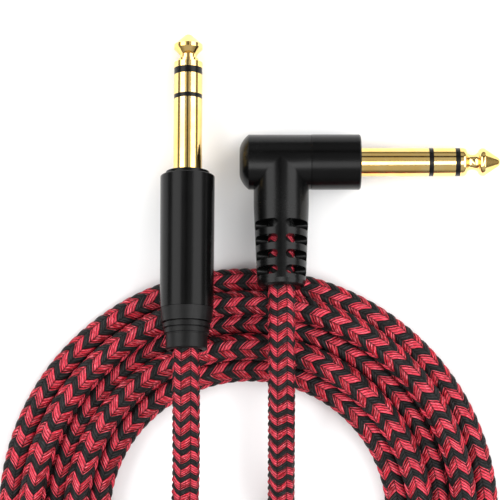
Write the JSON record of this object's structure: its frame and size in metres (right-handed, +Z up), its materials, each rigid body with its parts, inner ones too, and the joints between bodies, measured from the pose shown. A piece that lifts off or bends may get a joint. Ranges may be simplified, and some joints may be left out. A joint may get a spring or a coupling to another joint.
{
  "type": "instrument cable",
  "caption": "Braided audio cable wound in a flat coil, with a straight and a right-angle 6.35 mm stereo plug lying on the coil.",
  "frame": {"origin": "on the surface that the cable lies on, under the middle of the two plugs", "axes": "+Z up, +Y the way the straight plug points, +X the way the right-angle plug points; the coil is centred at about -Y"},
  "size_m": [0.1155, 0.1805, 0.022],
  "materials": {
    "braid": "red and charcoal herringbone braid",
    "gold": "polished gold plate on brass",
    "lug_brass": "tinned brass",
    "white_core": "white core insulation",
    "red_core": "red core insulation",
    "copper": "twisted bare copper",
    "liner": "clear insulating tube",
    "shell": "satin black coating on brass",
    "rubber": "matt black rubber",
    "moulding": "satin black moulded plastic",
    "insulator": "black insulating plastic"
  },
  "bodies": {
    "cable_and_plugs": {"angled_collar": "shell", "angled_head": "moulding", "angled_head_cap": "moulding", "angled_heat_shrink": "insulator", "angled_lead": "braid", "angled_rear_insulator": "insulator", "angled_red_core": "red_core", "angled_ring_contact": "gold", "angled_ring_insulator": "insulator", "angled_ring_lug": "lug_brass", "angled_shield_pigtail": "copper", "angled_sleeve_contact": "gold", "angled_strain_relief": "moulding", "angled_tip_contact": "gold", "angled_tip_insulator": "insulator", "angled_tip_lug": "lug_brass", "angled_white_core": "white_core", "coil": "braid", "straight_cable_clamp": "lug_brass", "straight_front_collar": "shell", "straight_lead": "braid", "straight_liner": "liner", "straight_rear_insulator": "insulator", "straight_red_core": "red_core", "straight_ring_contact": "gold", "straight_ring_insulator": "insulator", "straight_ring_lug": "lug_brass", "straight_shield_pigtail": "copper", "straight_sleeve_contact": "gold", "straight_tip_contact": "gold", "straight_tip_insulator": "insulator", "straight_tip_lug": "lug_brass", "straight_white_core": "white_core"},
    "gland": {"straight_gland": "rubber"},
    "shell": {"straight_shell": "shell"}
  },
  "joints": [
    {"name": "gland_slide", "type": "slide", "parent": "cable_and_plugs", "child": "gland", "axis": [0, -0.9781, 0.2079], "range_m": [0, 0.004]},
    {"name": "shell_unscrew", "type": "hinge", "parent": "gland", "child": "shell", "pos_m": [-0.03163, 0.0043, 0.00919], "axis": [0, -0.9781, 0.2079], "range_deg": [0, 1440]}
  ],
  "couplings": [
    {"joint": "gland_slide", "follows": "shell_unscrew", "m_per_rad": 0.00015915}
  ]
}
